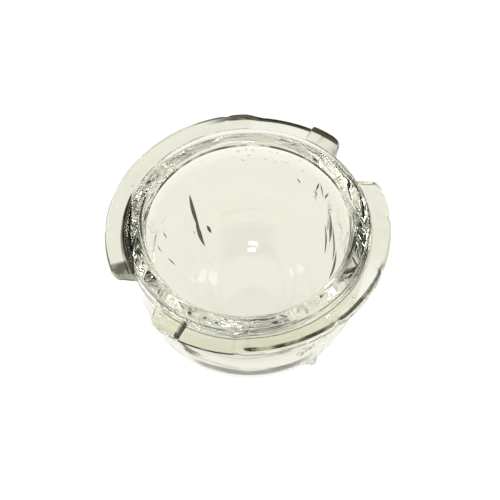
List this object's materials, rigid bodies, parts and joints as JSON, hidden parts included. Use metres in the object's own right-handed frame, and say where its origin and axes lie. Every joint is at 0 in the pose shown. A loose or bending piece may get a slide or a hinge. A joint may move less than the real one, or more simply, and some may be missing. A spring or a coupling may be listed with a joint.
{
  "type": "twist-lock glass dome",
  "caption": "Thick bell of clear pressed glass with a flat flange at its mouth, notched into bayonet lugs with a tab recess and a stop, shown mouth up on its crown.",
  "frame": {"origin": "centre of the flat on the crown, which the glass stands on mouth up; on the axis of the bowl", "axes": "+Z along the bowl's axis, from the crown to the open mouth; +X is 32 degrees clockwise, seen from above, from the middle of one of the notches"},
  "size_m": [0.056, 0.056, 0.034],
  "materials": {
    "clear_glass": "fire-polished clear glass with a faint straw-green tint"
  },
  "bodies": {
    "root": {"glass_dome": "clear_glass"}
  },
  "joints": []
}
